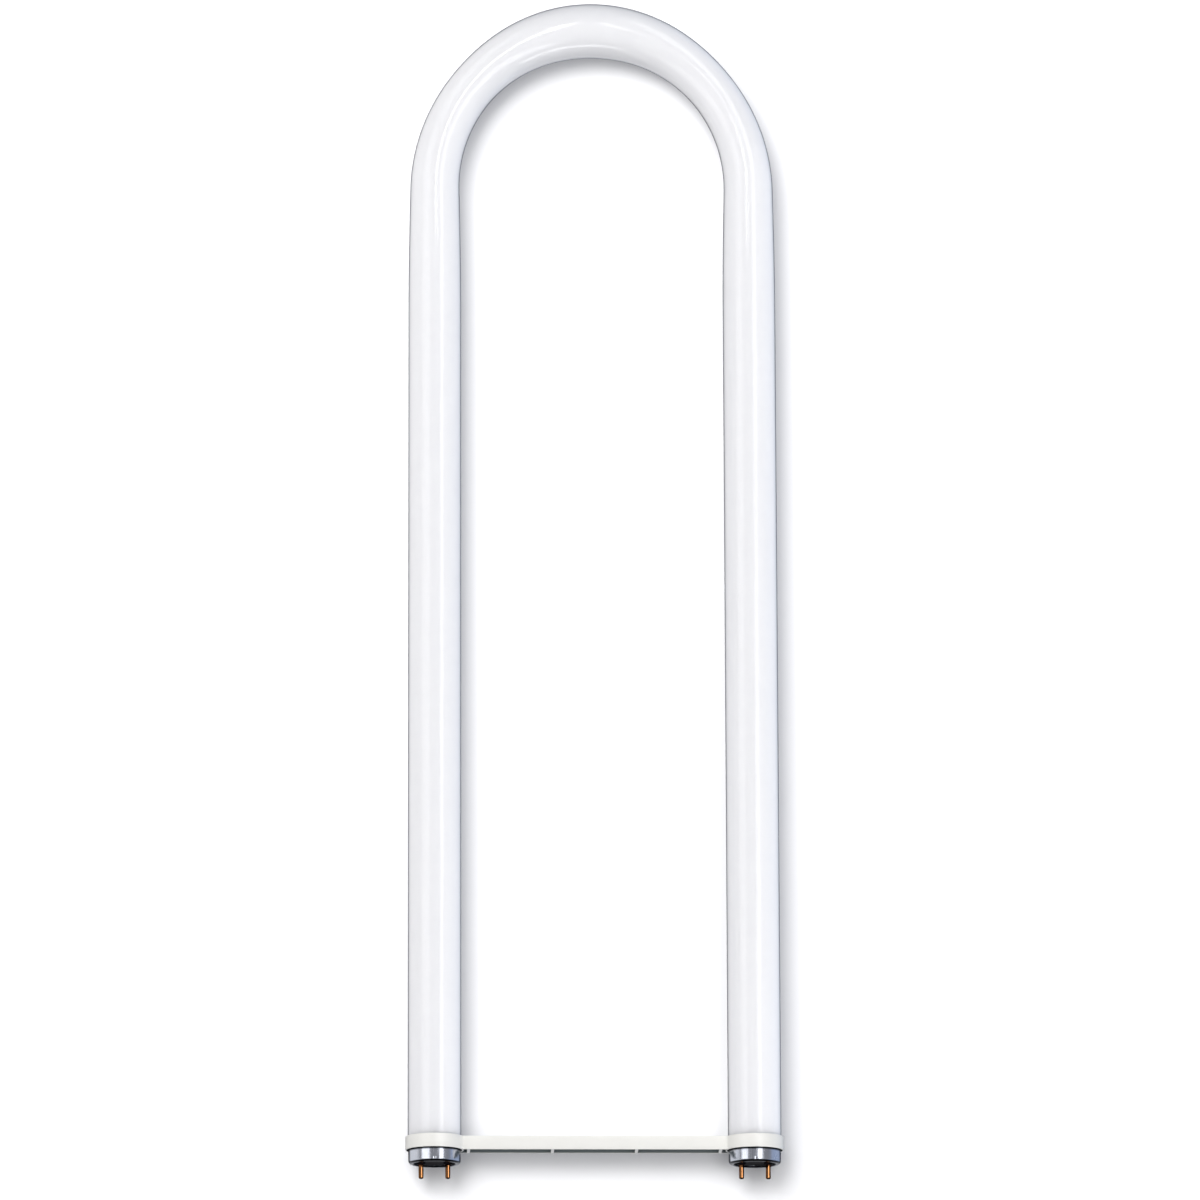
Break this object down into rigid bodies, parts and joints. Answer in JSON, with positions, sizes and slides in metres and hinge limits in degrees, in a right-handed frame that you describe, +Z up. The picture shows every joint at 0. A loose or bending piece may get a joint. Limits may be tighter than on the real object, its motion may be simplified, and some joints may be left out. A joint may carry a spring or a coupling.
{
  "type": "u-shaped fluorescent lamp",
  "caption": "U-shaped fluorescent lamp: a white glass tube bent back on itself, with a bi-pin base on each leg and a white moulded brace that holds the legs apart.",
  "frame": {"origin": "on the surface that the lamp lies on, in the middle of its width and of its length from pin tips to bend", "axes": "+X across the legs, +Y along the legs towards the bend, +Z up from the surface"},
  "size_m": [0.18, 0.5784, 0.0277],
  "materials": {
    "coated_glass": "glossy clear glass over a white powder coat",
    "aluminium": "bright drawn aluminium",
    "phenolic": "dark moulded phenolic",
    "brass": "plain turned brass",
    "cement": "matt basing cement",
    "copper_wire": "bare drawn wire",
    "white_moulding": "satin warm white moulding"
  },
  "bodies": {
    "root": {"glass_tube": "coated_glass", "left_end_cap": "aluminium", "right_end_cap": "aluminium", "left_insulator": "phenolic", "right_insulator": "phenolic", "left_outer_pin": "brass", "left_inner_pin": "brass", "right_inner_pin": "brass", "right_outer_pin": "brass", "left_cap_cement": "cement", "right_cap_cement": "cement", "left_outer_lead_wire": "copper_wire", "left_inner_lead_wire": "copper_wire", "right_inner_lead_wire": "copper_wire", "right_outer_lead_wire": "copper_wire", "leg_brace": "white_moulding"}
  },
  "joints": []
}
